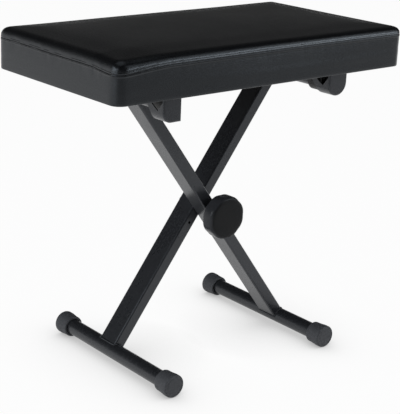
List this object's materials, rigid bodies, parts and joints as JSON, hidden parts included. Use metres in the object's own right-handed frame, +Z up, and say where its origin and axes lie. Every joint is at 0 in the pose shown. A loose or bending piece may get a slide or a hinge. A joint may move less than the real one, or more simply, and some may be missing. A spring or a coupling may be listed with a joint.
{
  "type": "folding keyboard bench",
  "caption": "Folding keyboard bench: a padded oblong seat on crossed tubular legs that close like scissors about a clamp knob.",
  "frame": {"origin": "on the floor, under the middle of the seat", "axes": "+X along the seat's length, to the right for someone who faces the clamp knob; +Y away from the knob, to the back; +Z up"},
  "size_m": [0.5618, 0.3078, 0.5268],
  "materials": {
    "vinyl": "black upholstery vinyl with a fine grain, satin",
    "foam": "cut foam, matt",
    "plywood": "plywood with a thin black stain",
    "coated_steel": "black powder coat, satin",
    "rubber": "dark grey rubber, matt",
    "nylon": "black nylon",
    "zinc_plated_steel": "zinc plated",
    "knob_plastic": "black moulded plastic, fine texture",
    "brass": "machined"
  },
  "bodies": {
    "rear_leg": {"rear_leg_tube": "coated_steel", "rear_leg_sleeve": "zinc_plated_steel", "rear_foot_bar": "coated_steel", "rear_foot_cap_front": "rubber", "rear_foot_cap_back": "rubber", "rear_top_bar": "coated_steel", "rear_top_cap_front": "nylon", "rear_top_cap_back": "nylon", "pivot_bolt": "zinc_plated_steel", "friction_washer": "nylon"},
    "front_leg": {"front_leg_tube": "coated_steel", "front_leg_sleeve": "zinc_plated_steel", "front_foot_bar": "coated_steel", "front_foot_cap_front": "rubber", "front_foot_cap_back": "rubber", "front_top_bar": "coated_steel", "front_top_cap_front": "nylon", "front_top_cap_back": "nylon"},
    "seat": {"seat_cover": "vinyl", "seat_foam": "foam", "seat_board": "plywood", "right_rear_saddle": "coated_steel", "right_front_saddle": "coated_steel", "left_rear_hook": "coated_steel", "left_front_hook": "coated_steel", "bracket_screw_1": "zinc_plated_steel", "bracket_screw_2": "zinc_plated_steel", "bracket_screw_3": "zinc_plated_steel", "bracket_screw_4": "zinc_plated_steel", "bracket_screw_5": "zinc_plated_steel", "bracket_screw_6": "zinc_plated_steel", "bracket_screw_7": "zinc_plated_steel", "bracket_screw_8": "zinc_plated_steel"},
    "clamp_plate": {"pressure_washer": "zinc_plated_steel"},
    "knob": {"knob_body": "knob_plastic", "knob_insert": "brass", "knob_cap": "knob_plastic"}
  },
  "joints": [
    {"name": "fold", "type": "hinge", "parent": "rear_leg", "child": "front_leg", "pos_m": [0, 0, 0.233], "axis": [0, 1, 0], "range_deg": [-3, 64]},
    {"name": "seat_tilt", "type": "hinge", "parent": "rear_leg", "child": "seat", "pos_m": [0.15573, 0, 0.4425], "axis": [0, 1, 0], "range_deg": [-1.5, 32]},
    {"name": "clamp_slide", "type": "slide", "parent": "rear_leg", "child": "clamp_plate", "axis": [0, -1, 0], "range_m": [0, 0.0015]},
    {"name": "knob_turn", "type": "hinge", "parent": "clamp_plate", "child": "knob", "pos_m": [0, -0.058, 0.233], "axis": [0, -1, 0], "range_deg": [0, 360]}
  ],
  "couplings": [
    {"joint": "seat_tilt", "follows": "fold", "ratio": 0.5},
    {"joint": "clamp_slide", "follows": "knob_turn", "m_per_rad": 0.00023873}
  ]
}
